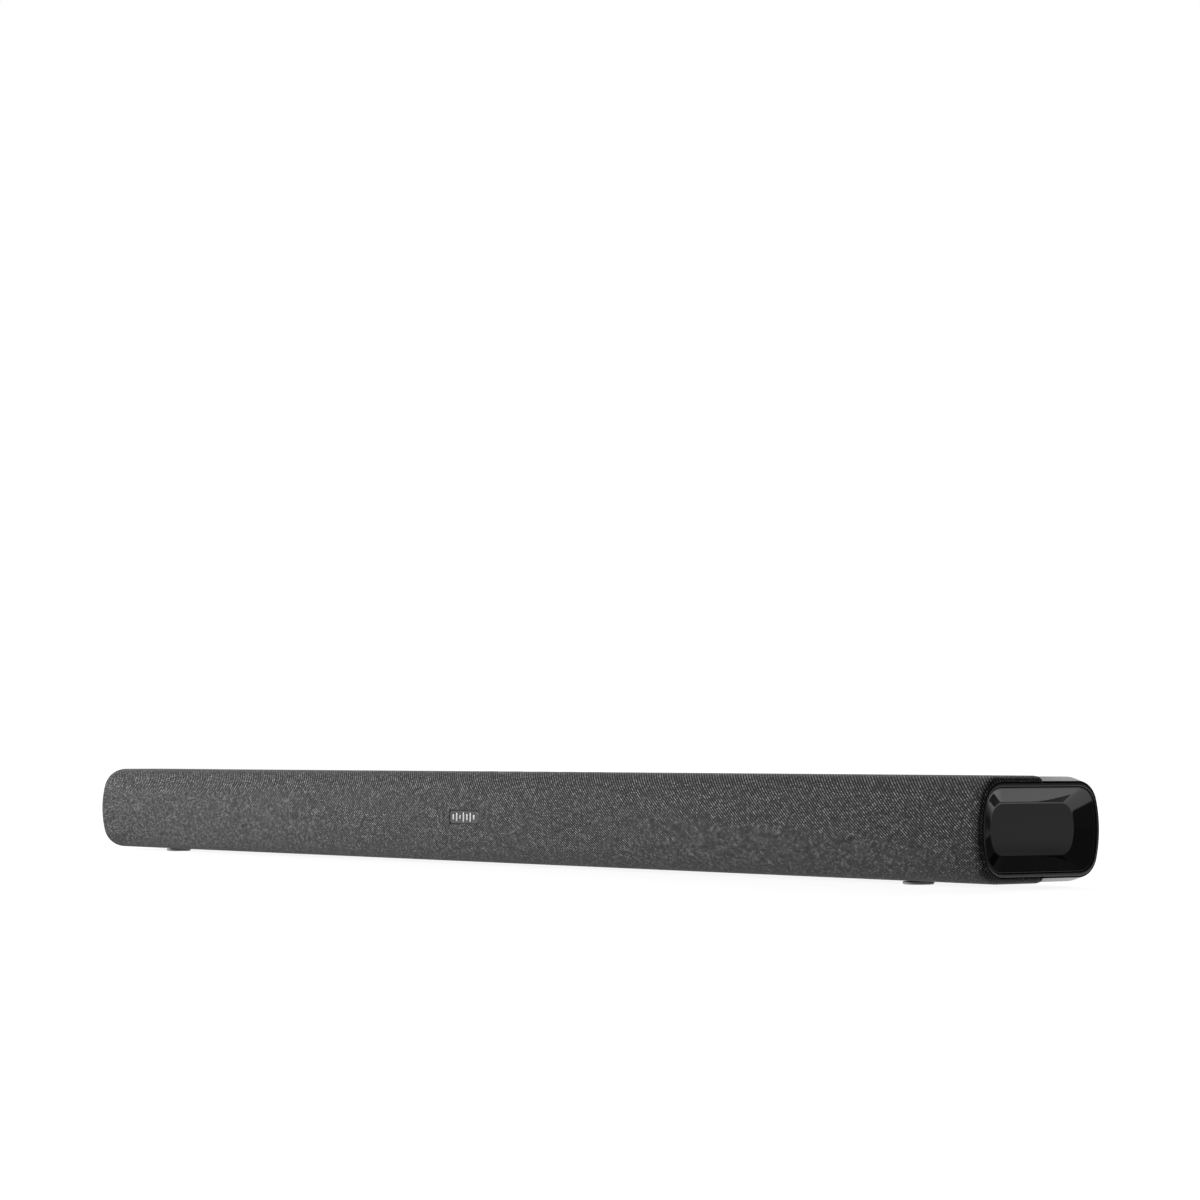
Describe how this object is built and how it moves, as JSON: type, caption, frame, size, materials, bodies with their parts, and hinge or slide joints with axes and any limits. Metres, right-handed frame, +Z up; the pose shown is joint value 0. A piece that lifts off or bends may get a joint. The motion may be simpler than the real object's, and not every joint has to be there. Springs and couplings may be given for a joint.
{
  "type": "soundbar",
  "caption": "Slim bowed soundbar with a wrap-round cloth grille, glossy dished ends, push buttons on top, a connector bay and keyholes in the back, and rubber feet.",
  "frame": {"origin": "on the surface that the feet stand on, under the middle of the bar", "axes": "+X towards the listener's right, along the bar; -Y towards the listener; +Z up"},
  "size_m": [0.9, 0.083, 0.055],
  "materials": {
    "satin_plastic": "satin black, fine even grain",
    "inner_plastic": "matte black",
    "gloss_plastic": "polished black",
    "speaker_cloth": "charcoal twill with light flecks",
    "badge_metal": "light grey plate with raised bars",
    "button_rubber": "soft matte caps",
    "soft_rubber": "matte",
    "foot_rubber": "pale silicone, matte",
    "paper_cone": "pressed pulp",
    "dome_fabric": "coated silk",
    "ferrite": "dull",
    "aluminium": "extruded",
    "plated_steel": "bright plated",
    "circuit_board": "green solder mask",
    "wire_jacket": "vinyl jacket",
    "clear_plastic": "clear moulding"
  },
  "bodies": {
    "casing": {"rear_cabinet": "satin_plastic", "front_baffle": "inner_plastic", "grille_frame": "inner_plastic", "grille_cloth": "speaker_cloth", "badge": "badge_metal", "control_strip": "gloss_plastic", "button_board": "circuit_board", "main_board": "circuit_board", "power_board": "circuit_board", "wireless_module": "circuit_board", "heat_sink": "aluminium", "power_transformer": "ferrite", "button_ribbon": "wire_jacket", "status_light_pipe": "clear_plastic", "remote_sensor": "clear_plastic", "connector_plate": "inner_plastic", "video_socket_input": "plated_steel", "video_socket_tv": "plated_steel", "service_socket": "plated_steel", "optical_socket": "inner_plastic", "aux_jack": "inner_plastic", "mains_inlet": "inner_plastic", "end_frame_left": "satin_plastic", "end_panel_left": "gloss_plastic", "woofer_gasket_left": "soft_rubber", "woofer_basket_left": "inner_plastic", "woofer_surround_left": "soft_rubber", "woofer_magnet_left": "ferrite", "tweeter_faceplate_left": "inner_plastic", "tweeter_magnet_left": "ferrite", "inner_screw_left": "plated_steel", "outer_screw_left": "plated_steel", "keyhole_plate_left": "plated_steel", "front_foot_left": "foot_rubber", "rear_foot_left": "foot_rubber", "speaker_wire_left": "wire_jacket", "end_frame_right": "satin_plastic", "end_panel_right": "gloss_plastic", "woofer_gasket_right": "soft_rubber", "woofer_basket_right": "inner_plastic", "woofer_surround_right": "soft_rubber", "woofer_magnet_right": "ferrite", "tweeter_faceplate_right": "inner_plastic", "tweeter_magnet_right": "ferrite", "inner_screw_right": "plated_steel", "outer_screw_right": "plated_steel", "keyhole_plate_right": "plated_steel", "front_foot_right": "foot_rubber", "rear_foot_right": "foot_rubber", "speaker_wire_right": "wire_jacket"},
    "button_power": {"button_power": "button_rubber"},
    "button_source": {"button_source": "button_rubber"},
    "button_pairing": {"button_pairing": "button_rubber"},
    "button_volume_down": {"button_volume_down": "button_rubber"},
    "button_volume_up": {"button_volume_up": "button_rubber"},
    "woofer_cone_left": {"woofer_cone_left": "paper_cone"},
    "tweeter_dome_left": {"tweeter_dome_left": "dome_fabric"},
    "woofer_cone_right": {"woofer_cone_right": "paper_cone"},
    "tweeter_dome_right": {"tweeter_dome_right": "dome_fabric"},
    "optical_shutter": {"optical_shutter": "inner_plastic"}
  },
  "joints": [
    {"name": "button_power_press", "type": "slide", "parent": "casing", "child": "button_power", "axis": [0, 0, -1], "range_m": [0, 0.001], "stiffness_N_per_m": 1200},
    {"name": "button_source_press", "type": "slide", "parent": "casing", "child": "button_source", "axis": [0, 0, -1], "range_m": [0, 0.001], "stiffness_N_per_m": 1200},
    {"name": "button_pairing_press", "type": "slide", "parent": "casing", "child": "button_pairing", "axis": [0, 0, -1], "range_m": [0, 0.001], "stiffness_N_per_m": 1200},
    {"name": "button_volume_down_press", "type": "slide", "parent": "casing", "child": "button_volume_down", "axis": [0, 0, -1], "range_m": [0, 0.001], "stiffness_N_per_m": 1200},
    {"name": "button_volume_up_press", "type": "slide", "parent": "casing", "child": "button_volume_up", "axis": [0, 0, -1], "range_m": [0, 0.001], "stiffness_N_per_m": 1200},
    {"name": "woofer_left_stroke", "type": "slide", "parent": "casing", "child": "woofer_cone_left", "axis": [0, -1, 0], "range_m": [-0.0025, 0.0025], "stiffness_N_per_m": 1600, "deforming": ["woofer_surround_left"]},
    {"name": "tweeter_left_stroke", "type": "slide", "parent": "casing", "child": "tweeter_dome_left", "axis": [0, -1, 0], "range_m": [-0.0004, 0.0004], "stiffness_N_per_m": 3000},
    {"name": "woofer_right_stroke", "type": "slide", "parent": "casing", "child": "woofer_cone_right", "axis": [0, -1, 0], "range_m": [-0.0025, 0.0025], "stiffness_N_per_m": 1600, "deforming": ["woofer_surround_right"]},
    {"name": "tweeter_right_stroke", "type": "slide", "parent": "casing", "child": "tweeter_dome_right", "axis": [0, -1, 0], "range_m": [-0.0004, 0.0004], "stiffness_N_per_m": 3000},
    {"name": "optical_shutter_hinge", "type": "hinge", "parent": "casing", "child": "optical_shutter", "pos_m": [-0.013, 0.0238, 0.0294], "axis": [-1, 0, 0], "range_deg": [0, 85], "stiffness_Nm_per_rad": 0.0004}
  ]
}
